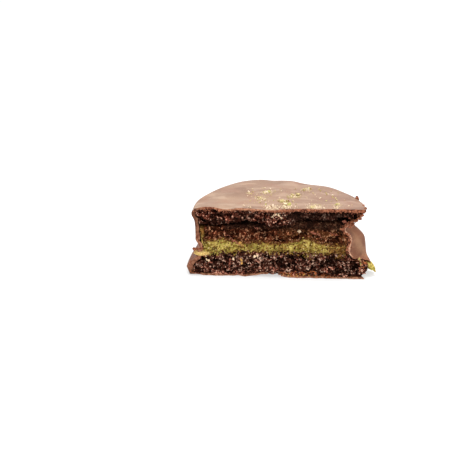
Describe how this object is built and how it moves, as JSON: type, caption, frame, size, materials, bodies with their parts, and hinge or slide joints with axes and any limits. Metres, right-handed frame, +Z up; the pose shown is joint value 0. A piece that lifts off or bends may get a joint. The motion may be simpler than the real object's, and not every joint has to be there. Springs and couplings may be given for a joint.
{
  "type": "half of a chocolate-coated alfajor cookie",
  "caption": "Half of a milk-chocolate-coated alfajor, cut through the middle: dark cocoa biscuits with pistachio cream between them and ground pistachio on top.",
  "frame": {"origin": "middle of the footprint, on the surface that the half rests on", "axes": "+X to the right along the cut, as seen by someone who faces the cut; +Y from the cut back into the round side; +Z up"},
  "size_m": [0.0708, 0.0378, 0.0283],
  "materials": {
    "milk_chocolate": "satin milk chocolate with soft cloudy streaks, and green ground pistachio on top",
    "cocoa_biscuit": "matt, dark, open cocoa crumb",
    "soaked_biscuit": "matt, moist brown crumb",
    "pistachio_cream": "grainy, slightly oily green-gold cream"
  },
  "bodies": {
    "root": {"chocolate_coat": "milk_chocolate", "upper_biscuit": "cocoa_biscuit", "middle_biscuit": "soaked_biscuit", "pistachio_cream": "pistachio_cream", "lower_biscuit": "cocoa_biscuit"}
  },
  "joints": []
}
